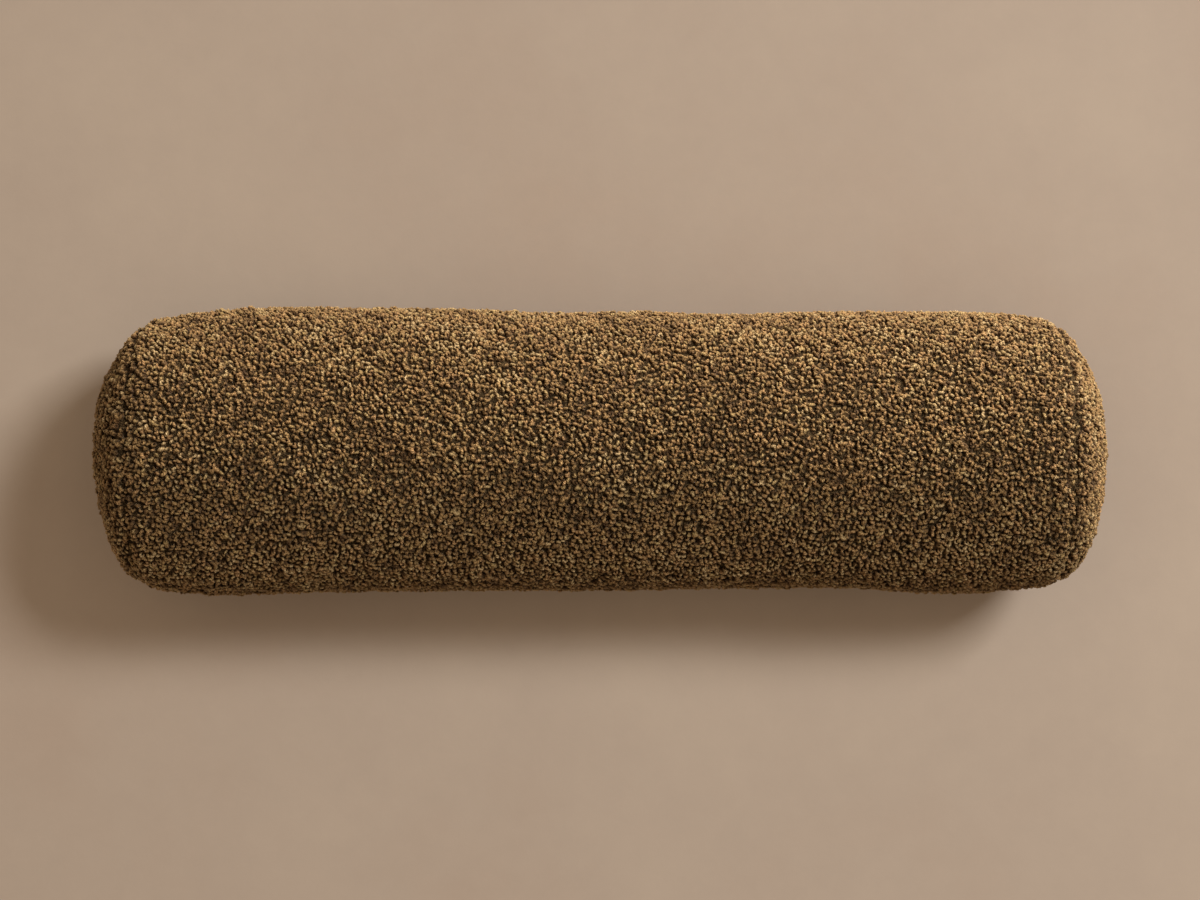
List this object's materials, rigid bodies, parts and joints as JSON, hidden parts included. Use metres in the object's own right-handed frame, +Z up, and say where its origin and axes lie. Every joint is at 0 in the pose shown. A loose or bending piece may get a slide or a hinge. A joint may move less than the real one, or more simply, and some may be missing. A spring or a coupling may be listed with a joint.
{
  "type": "bolster pillow",
  "caption": "Round bolster pillow in nubby looped-pile fabric with domed sewn ends, a zipped removable cover and a cased foam and fibre insert.",
  "frame": {"origin": "on the floor under the middle of the pillow, in its flattened underside", "axes": "+X along the pillow's length, +Z up; the zip is on the +Y side, 45 degrees below the horizontal"},
  "size_m": [0.812, 0.23, 0.223],
  "materials": {
    "boucle": "olive-brown looped pile, matt with fine bright strands",
    "zip_tape": "woven tape, matt",
    "zip_coil": "nylon, satin",
    "zip_metal": "antique, satin",
    "label": "satin ribbon, blank",
    "casing": "plain cotton",
    "wadding": "polyester fibre",
    "foam": "open-cell foam"
  },
  "bodies": {
    "pillow": {"cover_tube": "boucle", "cover_end_left": "boucle", "cover_end_right": "boucle", "zip_tape_upper": "zip_tape", "zip_tape_lower": "zip_tape", "zip_coil_upper": "zip_coil", "zip_coil_lower": "zip_coil", "zip_stop_top_upper": "zip_metal", "zip_stop_top_lower": "zip_metal", "zip_stop_bottom": "zip_metal", "care_label": "label", "insert_tube": "casing", "insert_end_left": "casing", "insert_end_right": "casing", "fibre_wrap": "wadding", "fibre_pad_left": "wadding", "fibre_pad_right": "wadding", "foam_core": "foam"},
    "slider": {"zip_slider": "zip_metal"},
    "pull": {"zip_pull": "zip_metal"}
  },
  "joints": [
    {"name": "zip_slide", "type": "slide", "parent": "pillow", "child": "slider", "axis": [-1, 0, 0], "range_m": [0, 0.5292]},
    {"name": "zip_pull_hinge", "type": "hinge", "parent": "slider", "child": "pull", "pos_m": [0.2716, 0.07898, 0.02902], "axis": [0, -0.7071, -0.7071], "range_deg": [0, 150]}
  ]
}
